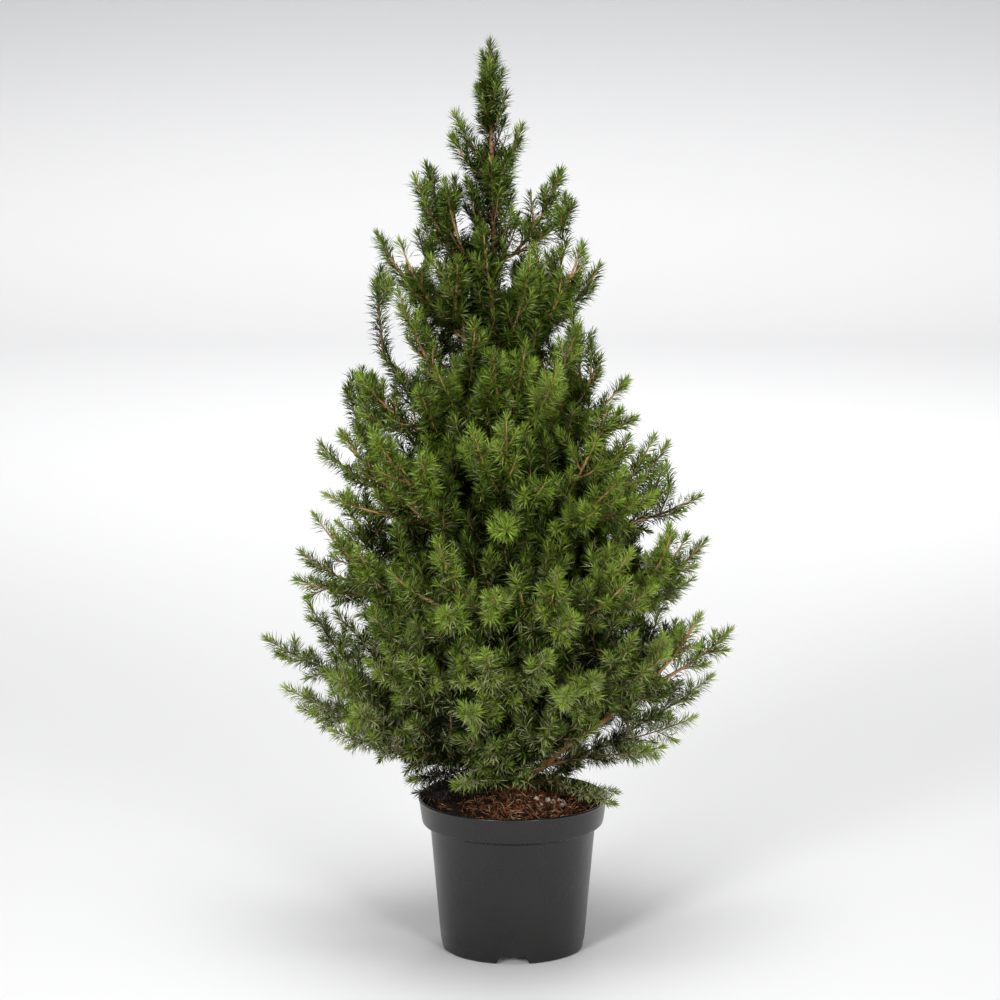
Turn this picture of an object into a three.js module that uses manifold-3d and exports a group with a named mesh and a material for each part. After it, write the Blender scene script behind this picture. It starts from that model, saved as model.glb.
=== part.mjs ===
// A young Alberta spruce in a round nursery pot. Millimetres, +Z up.
// The origin is the middle of the flat underside of the pot, and -Y is the front.
// Bearings are in degrees about +Z, from +X on the right: 270 is the front, 180 the left.
import * as THREE from 'three';
import { mergeVertices } from 'three/addons/utils/BufferGeometryUtils.js';
import Module from 'manifold-3d';

const wasm = await Module();
wasm.setup();

// ---- Driving dimensions ----
const GAP = 0.4;               // clearance between neighbouring pieces
const POT_HEIGHT = 154;
const LIP_RADIUS = 94.5;
const COLLAR_RADIUS = 91;      // lower edge of the collar
const COLLAR_BOTTOM = 126;
const SHOULDER_RADIUS = 82.5;  // top of the tapered body, under the collar
const FOOT_RADIUS = 71.5;
const POT_WALL = 1.6;
const POT_SEGMENTS = 24;
const FOOT_DEPTH = 8;          // how far the floor is raised behind the foot ring
const NOTCH_WIDTH = [34, 25];  // foot notch, at the ground and at its top

const SOIL_LEVEL = 150;        // ground level at the trunk
const SOIL_EDGE = 143.5;       // ground level at the pot wall
const SOIL_BUMPS = 1.6;        // how far the surface rises and falls

const TRUNK_TOP = 899;
const TRUNK_LEAN = -22;        // sideways drift of the tip from the foot
const TRUNK_FLARE = 15;        // radius of the root flare at ground level
const TRUNK_RADIUS = 8.5;      // radius just above the flare
const TRUNK_TIP_RADIUS = 1.3;

// The crown, from the ground up: one row for each mass of foliage. `foot` is where its bough
// leaves the trunk, and each tip is [bearing, reach from the trunk, height] of a long shoot.
const CROWN = [
  {
    tier: 'skirt', side: 'right', foot: 176,
    tips: [[350, 180, 240], [3, 198, 272], [338, 158, 217]],
  },
  {
    tier: 'skirt', side: 'front_right', foot: 163, girth: 10, lift: 3.2,
    tips: [[311, 150, 174], [298, 112, 212]],
  },
  {
    tier: 'skirt', side: 'front', foot: 172,
    tips: [[262, 132, 240], [250, 96, 184], [277, 100, 200], [285, 150, 262]],
  },
  {
    tier: 'skirt', side: 'front_left', foot: 186,
    tips: [[215, 212, 248], [205, 134, 206], [231, 152, 258], [198, 106, 176], [190, 116, 206]],
  },
  {
    tier: 'skirt', side: 'left', foot: 190,
    tips: [[188, 226, 270], [180, 211, 242], [202, 150, 236]],
  },
  {
    tier: 'skirt', side: 'back_left', foot: 180,
    tips: [[132, 196, 236], [116, 172, 264], [158, 196, 252], [100, 150, 228]],
  },
  {
    tier: 'skirt', side: 'back_right', foot: 180,
    tips: [[52, 190, 238], [76, 178, 258], [28, 192, 256], [88, 140, 214]],
  },
  {
    tier: 'low', side: 'right', foot: 158, bare: 0.47, girth: 13, lift: 0.62,
    tips: [[352, 217, 328], [342, 194, 350], [330, 170, 334]],
  },
  {
    tier: 'low', side: 'front_right', foot: 214,
    tips: [[294, 190, 315], [312, 176, 345], [286, 186, 300], [328, 178, 318]],
  },
  {
    tier: 'low', side: 'front', foot: 226,
    tips: [[263, 200, 344], [280, 198, 340], [255, 182, 279], [272, 136, 268]],
  },
  {
    tier: 'low', side: 'front_left', foot: 220,
    tips: [[240, 202, 334], [228, 196, 371], [222, 186, 318]],
  },
  {
    tier: 'low', side: 'left', foot: 218,
    tips: [[180, 244, 314], [205, 200, 300], [172, 204, 346]],
  },
  {
    tier: 'low', side: 'back_left', foot: 228,
    tips: [[138, 214, 322], [118, 196, 352], [154, 204, 292], [104, 178, 300]],
  },
  {
    tier: 'low', side: 'back_right', foot: 222,
    tips: [[48, 206, 330], [80, 202, 318], [64, 186, 366], [24, 200, 306]],
  },
  {
    tier: 'middle', side: 'right', foot: 292,
    tips: [
      [357, 194, 414], [349, 178, 423], [6, 182, 370], [338, 172, 432],
      [330, 158, 388], [28, 190, 398],
    ],
  },
  {
    tier: 'middle', side: 'front_right', foot: 300,
    tips: [
      [288, 196, 374], [310, 174, 398], [284, 194, 420], [326, 168, 384],
      [272, 168, 416], [316, 164, 424],
    ],
  },
  {
    tier: 'middle', side: 'front_left', foot: 306,
    tips: [[252, 202, 382], [250, 190, 447], [234, 190, 412], [266, 176, 396]],
  },
  {
    tier: 'middle', side: 'left', foot: 300,
    tips: [[190, 212, 381], [180, 205, 401], [203, 186, 437], [216, 178, 424], [168, 196, 430]],
  },
  {
    tier: 'middle', side: 'back', foot: 310,
    tips: [
      [112, 190, 420], [66, 188, 424], [142, 192, 402], [90, 184, 384],
      [44, 186, 398], [100, 160, 446],
    ],
  },
  {
    tier: 'shoulder', side: 'right', foot: 372,
    tips: [[0, 190, 457], [12, 166, 503], [346, 152, 522]],
  },
  {
    tier: 'shoulder', side: 'front_right', foot: 388,
    tips: [[318, 140, 563], [320, 152, 500], [300, 170, 470], [334, 160, 472], [332, 138, 526]],
  },
  {
    tier: 'shoulder', side: 'front', foot: 396,
    tips: [[260, 156, 550], [272, 160, 560], [270, 186, 461], [283, 172, 500]],
  },
  {
    tier: 'shoulder', side: 'front_left', foot: 390,
    tips: [[243, 170, 523], [222, 166, 540]],
  },
  {
    tier: 'shoulder', side: 'left', foot: 384,
    tips: [[178, 180, 508], [200, 165, 530], [190, 178, 464]],
  },
  {
    tier: 'shoulder', side: 'back', foot: 398,
    tips: [[120, 166, 522], [62, 160, 514], [148, 164, 498], [90, 168, 478], [38, 164, 486]],
  },
  {
    tier: 'upper', side: 'left', foot: 478,
    tips: [[205, 148, 585], [166, 117, 605], [196, 142, 548]],
  },
  {
    tier: 'upper', side: 'front_left', foot: 496,
    tips: [[240, 116, 597], [215, 113, 668], [256, 84, 640]],
  },
  {
    tier: 'upper', side: 'front_right', foot: 500,
    tips: [[268, 116, 618], [300, 112, 596], [317, 108, 637]],
  },
  {
    tier: 'upper', side: 'right', foot: 482,
    tips: [[5, 124, 571], [346, 102, 598], [352, 128, 538]],
  },
  {
    tier: 'upper', side: 'back', foot: 492,
    tips: [[118, 118, 606], [62, 116, 590], [90, 124, 562], [144, 124, 572], [36, 118, 566]],
  },
  {
    tier: 'high', side: 'left', foot: 592,
    tips: [[183, 112, 716], [238, 66, 698]],
  },
  {
    tier: 'high', side: 'front', foot: 566,
    tips: [[300, 70, 697], [258, 46, 728]],
  },
  {
    tier: 'high', side: 'right', foot: 590,
    tips: [[336, 94, 710], [10, 104, 682]],
  },
  {
    tier: 'high', side: 'back', foot: 600,
    tips: [[110, 78, 704], [70, 82, 686], [140, 92, 664], [42, 90, 654], [92, 96, 646]],
  },
  {
    tier: 'top', side: 'left', foot: 668,
    tips: [[200, 79, 774], [150, 74, 780], [196, 68, 724]],
  },
  {
    tier: 'top', side: 'right', foot: 676,
    tips: [[15, 69, 776], [38, 56, 744], [6, 64, 728]],
  },
];
// For each tier, `girth` is the widest radius of a lead shoot with its needles, `bare` the share
// of a bough's length that carries no foliage, and `rise` how much of its rise a shoot has made
// when it is most of the way out. Only the lower tiers show their boughs.
const TIERS = {
  skirt: { girth: 15, bare: 0.34, rise: 0.5, bough: true },
  low: { girth: 18, bare: 0.3, rise: 0.36, bough: true },
  middle: { girth: 20, bare: 0.26, rise: 0.3, bough: true },
  shoulder: { girth: 20, bare: 0.14, rise: 0.3, bough: false },
  upper: { girth: 18, bare: 0.12, rise: 0.3, bough: false },
  high: { girth: 15, bare: 0.12, rise: 0.3, bough: false },
  top: { girth: 14, bare: 0.12, rise: 0.24, bough: false },
};
const FEWEST_SHOOTS = 4;       // unnamed side shoots make up a mass with fewer tips
const FIRST_FORK = 0.1;        // where along the lead the next shoot leaves it
const FORK_STEP = 0.1;
const BOUGH_RADIUS_PER_REACH = 0.023;

// The leader: foliage round the bare top of the trunk, with small side shoots of its own.
const LEADER_FOOT = 716;
const LEADER_TIP = 908;
const LEADER_SWELL = [[0.03, 17], [0.25, 21], [0.45, 17], [0.62, 19], [0.8, 16], [0.93, 9]];
const LEADER_SHOOTS = [[170, 35, 833], [12, 30, 821], [270, 24, 790], [200, 38, 812], [95, 30, 800]];
const LEADER_SHOOT_GIRTH = 11;
const LEADER_SHOOT_CLIMB = 42; // height from a side shoot's foot to its tip

// How a shoot with its needles swells: [place along it, share of its girth].
const LONG_SWELL = [[0.2, 1], [0.55, 1], [0.88, 0.58]];
const SHORT_SWELL = [[0.35, 1], [0.82, 0.7]];

// ---- Helpers ----

// A repeatable stream of numbers from 0 to 1.
function seeded(seed) {
  let state = seed;
  return () => {
    state = (state + 0x6d2b79f5) | 0;
    let mixed = Math.imul(state ^ (state >>> 15), 1 | state);
    mixed = (mixed + Math.imul(mixed ^ (mixed >>> 7), 61 | mixed)) ^ mixed;
    return ((mixed ^ (mixed >>> 14)) >>> 0) / 4294967296;
  };
}

function solid(geometry) {
  const bare = geometry.clone();
  bare.deleteAttribute('normal');
  bare.deleteAttribute('uv');
  const merged = mergeVertices(bare, 1e-4);
  const mesh = new wasm.Mesh({
    numProp: 3,
    vertProperties: new Float32Array(merged.attributes.position.array),
    triVerts: new Uint32Array(merged.index.array),
  });
  return new wasm.Manifold(mesh);
}

function geometryOf(body) {
  const mesh = body.getMesh();
  const geometry = new THREE.BufferGeometry();
  geometry.setAttribute('position', new THREE.BufferAttribute(mesh.vertProperties, 3));
  geometry.setIndex(new THREE.BufferAttribute(mesh.triVerts, 1));
  geometry.computeVertexNormals();
  return geometry;
}

function largestBody(body) {
  const bodies = body.decompose();
  return bodies.reduce((best, next) => (next.volume() > best.volume() ? next : best));
}

function boxesMeet(a, b) {
  const [p, q] = [a.boundingBox(), b.boundingBox()];
  return [0, 1, 2].every((axis) => p.min[axis] < q.max[axis] && q.min[axis] < p.max[axis]);
}

function cutBy(body, cutters) {
  return cutters.reduce((left, cutter) => (boxesMeet(left, cutter) ? left.subtract(cutter) : left), body);
}

// A closed round body along a curve that bends in one upright plane. `rings` lists [place along
// the curve, radius]; a radius of zero at either end makes a point, and any other end is a flat
// cap. The section stays level where `level` is true, and square to the curve elsewhere.
function taperedBody(curve, rings, sides, level = false) {
  const positions = [];
  const index = [];
  const chord = curve.getPoint(1).sub(curve.getPoint(0));
  const steep = Math.hypot(chord.x, chord.y) < 0.1 * chord.length();
  const sideways = steep ? new THREE.Vector3(0, -1, 0) : new THREE.Vector3(chord.y, -chord.x, 0);
  const loops = rings.map(([place, radius]) => {
    const centre = curve.getPoint(place);
    const first = positions.length / 3;
    if (radius === 0) {
      positions.push(...centre);
      return { first, count: 1 };
    }
    const tangent = level ? new THREE.Vector3(0, 0, 1) : curve.getTangent(place);
    const across = sideways.clone().projectOnPlane(tangent).normalize();
    const upright = new THREE.Vector3().crossVectors(tangent, across);
    for (let side = 0; side < sides; side += 1) {
      const angle = (side / sides) * 2 * Math.PI;
      const point = centre.clone()
        .addScaledVector(across, radius * Math.cos(angle))
        .addScaledVector(upright, radius * Math.sin(angle));
      positions.push(...point);
    }
    return { first, count: sides };
  });
  for (let ring = 0; ring + 1 < loops.length; ring += 1) {
    const [low, high] = [loops[ring], loops[ring + 1]];
    for (let side = 0; side < sides; side += 1) {
      const next = (side + 1) % sides;
      const highNext = high.first + (high.count > 1 ? next : 0);
      const lowSide = low.first + (low.count > 1 ? side : 0);
      if (low.count > 1) index.push(lowSide, low.first + next, highNext);
      if (high.count > 1) index.push(lowSide, highNext, high.first + side);
    }
  }
  for (const [loop, turn] of [[loops[0], -1], [loops[loops.length - 1], 1]]) {
    for (let side = 1; side + 1 < loop.count; side += 1) {
      const fan = [loop.first, loop.first + side, loop.first + side + 1];
      index.push(...(turn > 0 ? fan : fan.reverse()));
    }
  }
  const geometry = new THREE.BufferGeometry();
  geometry.setAttribute('position', new THREE.Float32BufferAttribute(positions, 3));
  geometry.setIndex(index);
  return geometry;
}

// A point at a bearing, a distance from the trunk's axis and a height.
function aroundTrunk(bearing, reach, height) {
  const angle = THREE.MathUtils.degToRad(bearing);
  return trunkAxis(height).add(new THREE.Vector3(reach * Math.cos(angle), reach * Math.sin(angle), 0));
}

// ---- Pot: a thin-walled moulded pot with a collar and a notched foot ring ----

// The shell's outline, from the middle of its floor out along the underside, up the outside,
// over the lip, down the inside and back along the floor.
function potProfile() {
  const corner = 3;
  const innerFoot = FOOT_RADIUS - 5.5;
  const outside = [
    [0, 0], [46, 0], [50, FOOT_DEPTH], [innerFoot - 1.5, FOOT_DEPTH], [innerFoot, 0],
    [FOOT_RADIUS - corner, 0], [FOOT_RADIUS, corner], [SHOULDER_RADIUS, COLLAR_BOTTOM],
    [COLLAR_RADIUS - 2, COLLAR_BOTTOM + 2], [COLLAR_RADIUS, COLLAR_BOTTOM + 6],
    [LIP_RADIUS, POT_HEIGHT],
  ];
  const inside = [
    [LIP_RADIUS - POT_WALL, POT_HEIGHT], [COLLAR_RADIUS - POT_WALL, COLLAR_BOTTOM + 7],
    [SHOULDER_RADIUS - POT_WALL, COLLAR_BOTTOM + 1],
    [FOOT_RADIUS - POT_WALL, FOOT_DEPTH + 2], [48, FOOT_DEPTH + 2], [44, 2], [0, 2],
  ];
  return [...outside, ...inside].map(([radius, height]) => new THREE.Vector2(radius, height));
}

function lathe(profile, segments) {
  return new THREE.LatheGeometry(profile, segments).rotateX(Math.PI / 2);
}

function footNotch(bearing) {
  const [low, high] = NOTCH_WIDTH;
  const below = -1;
  const top = FOOT_DEPTH - 0.1;
  const shape = new THREE.Shape();
  shape.moveTo(-low / 2, below);
  shape.lineTo(low / 2, below);
  shape.lineTo(high / 2, top);
  shape.lineTo(-high / 2, top);
  shape.closePath();
  const cutter = new THREE.ExtrudeGeometry(shape, { depth: 20, bevelEnabled: false });
  cutter.rotateX(Math.PI / 2).rotateZ(Math.PI / 2).translate(FOOT_RADIUS - 11, 0, 0);
  return cutter.rotateZ(THREE.MathUtils.degToRad(bearing));
}

function makePot() {
  const notches = [0, 90, 180, 270].map((bearing) => solid(footNotch(bearing)));
  return cutBy(solid(lathe(potProfile(), POT_SEGMENTS)), notches);
}

// ---- Soil: fills the pot to a low uneven mound, with a level patch under the trunk ----
function makeSoil() {
  const random = seeded(11);
  const bottom = FOOT_DEPTH + 2 + GAP;
  const wallRadius = COLLAR_RADIUS - POT_WALL + 0.8;
  const rings = [68, 46, 24];
  const profile = [
    new THREE.Vector2(0, bottom),
    new THREE.Vector2(FOOT_RADIUS - POT_WALL - 1, bottom),
    new THREE.Vector2(SHOULDER_RADIUS - POT_WALL - 1, COLLAR_BOTTOM + 1.5),
    new THREE.Vector2(COLLAR_RADIUS - POT_WALL - 1, COLLAR_BOTTOM + 8),
    new THREE.Vector2(wallRadius, SOIL_EDGE),
    ...rings.map((radius) => new THREE.Vector2(
      radius,
      THREE.MathUtils.lerp(SOIL_LEVEL, SOIL_EDGE, (radius / wallRadius) ** 2),
    )),
    new THREE.Vector2(0, SOIL_LEVEL),
  ];
  const geometry = lathe(profile, 16);
  geometry.deleteAttribute('normal');
  geometry.deleteAttribute('uv');
  const merged = mergeVertices(geometry, 1e-3);
  const points = merged.attributes.position;
  for (let i = 0; i < points.count; i += 1) {
    const radius = Math.hypot(points.getX(i), points.getY(i));
    const onTop = points.getZ(i) > SOIL_EDGE + 0.1 && radius > Math.min(...rings) + 1;
    if (onTop) points.setZ(i, points.getZ(i) + (random() - 0.5) * 2 * SOIL_BUMPS);
  }
  return solid(merged);
}

// The space that the pot and the soil take up, with clearance, which the plant is cut back to.
function groundRoom() {
  const clear = SOIL_BUMPS + GAP;
  const profile = [
    [0, 0], [LIP_RADIUS + GAP, 0], [LIP_RADIUS + GAP, POT_HEIGHT + GAP],
    [LIP_RADIUS - 4, POT_HEIGHT + GAP], [LIP_RADIUS - 6, SOIL_EDGE + clear],
    [TRUNK_FLARE + 8, SOIL_LEVEL + clear], [0, SOIL_LEVEL + clear],
  ];
  return solid(lathe(profile.map(([radius, height]) => new THREE.Vector2(radius, height)), POT_SEGMENTS));
}

// ---- Trunk: one leaning, tapering stem from the ground to the leader's tip ----

// The axis leans to the left on the way up, and has a slight bow.
function trunkAxis(height) {
  const share = Math.max(0, (height - SOIL_LEVEL) / (TRUNK_TOP - SOIL_LEVEL));
  const bow = 3 * Math.sin(share * Math.PI * 2);
  return new THREE.Vector3(TRUNK_LEAN * share ** 1.1 + bow, 8 - bow, height);
}

function trunkRadius(height) {
  const share = (height - SOIL_LEVEL) / (TRUNK_TOP - SOIL_LEVEL);
  const flare = (TRUNK_FLARE - TRUNK_RADIUS) * Math.exp(-share / 0.022);
  return flare + THREE.MathUtils.lerp(TRUNK_RADIUS, TRUNK_TIP_RADIUS, share ** 0.85);
}

function makeTrunk(growth = 0) {
  const steps = 10;
  const heights = [];
  for (let step = 0; step <= steps; step += 1) {
    heights.push(THREE.MathUtils.lerp(SOIL_LEVEL + GAP, TRUNK_TOP, (step / steps) ** 1.5));
  }
  const curve = new THREE.CatmullRomCurve3(heights.map(trunkAxis));
  const rings = heights.map((height, step) => [step / steps, trunkRadius(height) + growth]);
  if (growth > 0) rings.push([1, 0]);
  return solid(taperedBody(curve, rings, 6, true));
}

// ---- Boughs and masses of foliage ----

const rowName = (row) => `${row.tier}_${row.side}`;

const BOUGH_LIFT = 0.4;         // share of its rise that a bough has made at its elbow

// A bough runs out from the trunk and turns up towards the first tip of its mass.
function boughCurve(row) {
  const [bearing, reach, height] = row.tips[0];
  const start = trunkAxis(row.foot);
  const end = aroundTrunk(bearing, reach, height);
  const lift = row.lift ?? BOUGH_LIFT;
  const elbow = aroundTrunk(bearing, reach * 0.55, THREE.MathUtils.lerp(row.foot, height, lift));
  return new THREE.QuadraticBezierCurve3(start, elbow, end);
}

function makeBough(row, growth = 0) {
  const [, reach] = row.tips[0];
  const base = BOUGH_RADIUS_PER_REACH * reach;
  const curve = boughCurve(row);
  const length = curve.getLength();
  const first = (trunkRadius(row.foot) + base) / length;
  const last = { ...TIERS[row.tier], ...row }.bare - 4 * GAP / length;
  const rings = [0, 0.5, 1].map((share) => [
    THREE.MathUtils.lerp(first, last, share),
    THREE.MathUtils.lerp(base, base * 0.62, share) + growth,
  ]);
  return solid(taperedBody(curve, rings, 5));
}

// The long shoots of a mass, then side shoots between them and the trunk, each one
// [bearing, reach, height].
function shootTips(row, random) {
  const sideShoots = [];
  for (let i = 0; row.tips.length + i < FEWEST_SHOOTS; i += 1) {
    const [bearing, reach, height] = row.tips[i % row.tips.length];
    const turn = (i % 2 === 0 ? 1 : -1) * (14 + 16 * random());
    const share = 0.66 + 0.2 * random();
    const lift = (height - row.foot) * (0.8 + 0.25 * random());
    sideShoots.push([bearing + turn, reach * share, row.foot + lift]);
  }
  return [...row.tips, ...sideShoots];
}

// A shoot leaves its parent outwards and turns up towards its tip.
function shootCurve(start, tip, rise) {
  const elbow = start.clone().lerp(tip, 0.6);
  elbow.z = THREE.MathUtils.lerp(start.z, tip.z, rise);
  return new THREE.QuadraticBezierCurve3(start.clone(), elbow, tip.clone());
}

// One shoot with its needles: a thick bristly rod that swells from its foot and ends in a point.
function shootBody(curve, girth, swell, sides, growth) {
  const path = curve.clone();
  path.v2.addScaledVector(curve.getTangent(1), growth * 1.5);
  path.v0.addScaledVector(curve.getTangent(0), -growth * 1.5);
  const rings = [[0, 0], ...swell.map(([place, share]) => [place, girth * share + growth]), [1, 0]];
  return solid(taperedBody(path, rings, sides));
}

// The first tip ends the mass's lead shoot, and every other shoot leaves the lead along its length.
function makeMass(row, seed, growth = 0) {
  const random = seeded(seed);
  const [leadTip, ...otherTips] = shootTips(row, random);
  const { girth, bare, rise } = { ...TIERS[row.tier], ...row };
  const lead = shootCurve(boughCurve(row).getPoint(bare), aroundTrunk(...leadTip), rise);
  const leadBody = shootBody(lead, girth, LONG_SWELL, 5, growth);
  return otherTips.reduce((all, tip, i) => {
    const fork = lead.getPoint(FIRST_FORK + FORK_STEP * i);
    const shoot = shootCurve(fork, aroundTrunk(...tip), rise);
    return all.add(shootBody(shoot, girth * 0.95, SHORT_SWELL, 4, growth));
  }, leadBody);
}

function makeLeader(growth = 0) {
  const axis = new THREE.LineCurve3(trunkAxis(LEADER_FOOT - growth), trunkAxis(LEADER_TIP + growth));
  const rings = [[0, 0], ...LEADER_SWELL.map(([place, radius]) => [place, radius + growth]), [1, 0]];
  const stem = solid(taperedBody(axis, rings, 6));
  return LEADER_SHOOTS.reduce((all, [bearing, reach, height]) => {
    const foot = trunkAxis(height - LEADER_SHOOT_CLIMB);
    const curve = shootCurve(foot, aroundTrunk(bearing, reach, height), TIERS.top.rise);
    return all.add(shootBody(curve, LEADER_SHOOT_GIRTH, SHORT_SWELL, 4, growth));
  }, stem);
}

// ---- The whole plant ----
const potPlastic = { color: 0x2e2e30, roughness: 0.45, metalness: 0 };
const soilPeat = { color: 0x3b2417, roughness: 1, metalness: 0 };
const bark = { color: 0x8a5a38, roughness: 0.9, metalness: 0 };
const needles = { color: 0x3f6b2c, roughness: 0.8, metalness: 0 };

const group = new THREE.Group();

function addPiece(name, body, finish) {
  const mesh = new THREE.Mesh(geometryOf(body), new THREE.MeshStandardMaterial(finish));
  mesh.name = name;
  group.add(mesh);
}

const trunk = makeTrunk();
const trunkRoom = makeTrunk(GAP);
addPiece('pot', makePot(), potPlastic);
addPiece('soil', makeSoil(), soilPeat);
addPiece('trunk', trunk, bark);

const ground = groundRoom();
const bearers = CROWN.filter((row) => TIERS[row.tier].bough);
const boughRooms = bearers.map((row) => makeBough(row, GAP));

const massRooms = [makeLeader(GAP)];
addPiece('foliage_leader', largestBody(cutBy(makeLeader(), [trunkRoom])), needles);
CROWN.forEach((row, i) => {
  const seed = 100 + i;
  const otherBoughs = boughRooms.filter((_, bearer) => bearers[bearer] !== row);
  const mass = cutBy(makeMass(row, seed), [ground, trunkRoom, ...massRooms, ...otherBoughs]);
  addPiece(`foliage_${rowName(row)}`, largestBody(mass), needles);
  massRooms.push(makeMass(row, seed, GAP));
});

bearers.forEach((row, i) => {
  const ownMass = massRooms[1 + CROWN.indexOf(row)];
  const bough = cutBy(makeBough(row), [ground, trunkRoom, ownMass, ...boughRooms.slice(0, i)]);
  addPiece(`bough_${rowName(row)}`, largestBody(bough), bark);
});

export default group;
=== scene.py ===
import math

import bmesh
import bpy
import numpy as np
from mathutils import Matrix, Vector, noise
from mathutils.bvhtree import BVHTree
from mathutils.geometry import interpolate_bezier


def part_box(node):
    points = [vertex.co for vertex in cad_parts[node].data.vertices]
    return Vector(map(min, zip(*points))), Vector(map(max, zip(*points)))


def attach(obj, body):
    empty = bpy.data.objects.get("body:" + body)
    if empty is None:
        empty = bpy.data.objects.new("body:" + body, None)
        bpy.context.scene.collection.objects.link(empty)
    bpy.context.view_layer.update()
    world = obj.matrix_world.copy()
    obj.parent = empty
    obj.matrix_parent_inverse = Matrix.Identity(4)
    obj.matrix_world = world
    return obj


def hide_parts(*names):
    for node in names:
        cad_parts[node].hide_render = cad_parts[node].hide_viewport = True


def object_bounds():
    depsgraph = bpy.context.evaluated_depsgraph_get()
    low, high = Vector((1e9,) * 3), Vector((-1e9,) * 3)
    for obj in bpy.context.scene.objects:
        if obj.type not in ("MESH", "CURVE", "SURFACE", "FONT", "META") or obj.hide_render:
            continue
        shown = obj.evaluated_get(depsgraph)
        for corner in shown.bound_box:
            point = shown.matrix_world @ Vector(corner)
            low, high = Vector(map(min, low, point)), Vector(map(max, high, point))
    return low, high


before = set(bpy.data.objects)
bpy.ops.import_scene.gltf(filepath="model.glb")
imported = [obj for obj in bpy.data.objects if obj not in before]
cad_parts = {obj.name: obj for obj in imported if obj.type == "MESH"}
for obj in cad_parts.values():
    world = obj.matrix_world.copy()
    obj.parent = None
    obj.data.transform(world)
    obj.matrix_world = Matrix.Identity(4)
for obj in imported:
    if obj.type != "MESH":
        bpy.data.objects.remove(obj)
cad_low, cad_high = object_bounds()

# ---- Camera ----
# It stands well back in front of the plant, above the tip of the tree, and looks a little down.
CAMERA_PLACE = (-0.0127, -3.70, 1.13)
LOOKS_DOWN = math.radians(10.34)
camera = bpy.data.objects.new("camera", bpy.data.cameras.new("camera"))
camera.location = CAMERA_PLACE
camera.rotation_euler = (math.radians(90) - LOOKS_DOWN, 0, 0)
camera.data.sensor_width = 36
camera.data.lens = 137.2
bpy.context.scene.collection.objects.link(camera)
bpy.context.scene.camera = camera


# ---- Pot ----
# A round nursery pot, injection moulded in one piece of black plastic with a satin surface. The
# thin tapered wall steps out to a collar at the rim, and the floor stands on a notched foot ring.
POT_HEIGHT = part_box("pot")[1].z
LIP_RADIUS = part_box("pot")[1].x
COLLAR_RADIUS = 0.091
COLLAR_BOTTOM = 0.126
SHOULDER_RADIUS = 0.0825
FOOT_RADIUS = 0.0715
FOOT_DEPTH = 0.008
POT_WALL = 0.0016
POT_STEPS = 120
NOTCH_WIDTHS = (0.034, 0.025)   # at the ground and at its top
MOULD_LINE = 0.0104             # height of the seam between the mould's base and its wall
RIM_ROUNDING = 0.0004


def piece_of(name, mesh, material, stands_for=()):
    """A finished mesh as a piece that stands on the plant's one body."""
    piece = bpy.data.objects.new(name, mesh)
    bpy.context.scene.collection.objects.link(piece)
    mesh.materials.append(material)
    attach(piece, "root")
    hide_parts(*stands_for)
    return piece


def mesh_of(name, shape, smooth_under=math.radians(30)):
    """A bmesh as a mesh, smooth where its faces meet at less than the given angle."""
    mesh = bpy.data.meshes.new(name)
    shape.to_mesh(mesh)
    shape.free()
    mesh.polygons.foreach_set("use_smooth", np.ones(len(mesh.polygons), bool))
    mesh.set_sharp_from_angle(angle=smooth_under)
    return mesh


def spun(outline, steps):
    """A closed round shape from an outline of (radius, height) that starts and ends on the axis."""
    shape = bmesh.new()
    points = [shape.verts.new((radius, 0, height)) for radius, height in outline]
    edges = [shape.edges.new(pair) for pair in zip(points, points[1:])]
    bmesh.ops.spin(shape, geom=points + edges, cent=(0, 0, 0), axis=(0, 0, 1),
                   angle=math.tau, steps=steps, use_merge=True)
    bmesh.ops.remove_doubles(shape, verts=shape.verts, dist=1e-5)
    bmesh.ops.recalc_face_normals(shape, faces=shape.faces)
    return shape


def round_rims(shape, offset, over=math.radians(20)):
    """Rounds the level edges that run round a spun shape."""
    rims = [edge for edge in shape.edges
            if abs(edge.verts[0].co.z - edge.verts[1].co.z) < 1e-6 and edge.calc_face_angle(0) > over]
    bmesh.ops.bevel(shape, geom=rims, offset=offset, offset_type="OFFSET", affect="EDGES",
                    segments=2, profile=0.5, material=-1)


def foot_notches():
    """Wedges, wider at the ground, that cut the foot ring at its four quarters."""
    wedges = bmesh.new()
    depth = 0.03
    height = FOOT_DEPTH - 0.0001
    below = 0.002
    for quarter in range(4):
        corners = bmesh.ops.create_cube(wedges, size=1)["verts"]
        for corner in corners:
            width = NOTCH_WIDTHS[1] if corner.co.z > 0 else NOTCH_WIDTHS[0] + 0.002
            corner.co.x *= width
            corner.co.y = -FOOT_RADIUS + corner.co.y * depth
            corner.co.z = height if corner.co.z > 0 else -below
        turn = Matrix.Rotation(quarter * math.pi / 2, 3, "Z")
        bmesh.ops.rotate(wedges, verts=corners, cent=(0, 0, 0), matrix=turn)
    return mesh_of("foot notches", wedges)


def cut_by(mesh, cutter):
    """A mesh with another one taken out of it."""
    body = bpy.data.objects.new("body", mesh)
    tool = bpy.data.objects.new("tool", cutter)
    for thing in (body, tool):
        bpy.context.scene.collection.objects.link(thing)
    cut = body.modifiers.new("cut", "BOOLEAN")
    cut.object = tool
    cut.solver = "EXACT"
    result = bpy.data.meshes.new_from_object(body.evaluated_get(bpy.context.evaluated_depsgraph_get()))
    for thing in (body, tool):
        bpy.data.objects.remove(thing)
    return result


def pot_wall_radius(height):
    """The outer radius of the tapered wall, between its foot and its shoulder."""
    share = (height - 0.003) / (COLLAR_BOTTOM - 0.003)
    return FOOT_RADIUS + share * (SHOULDER_RADIUS - FOOT_RADIUS)


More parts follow.
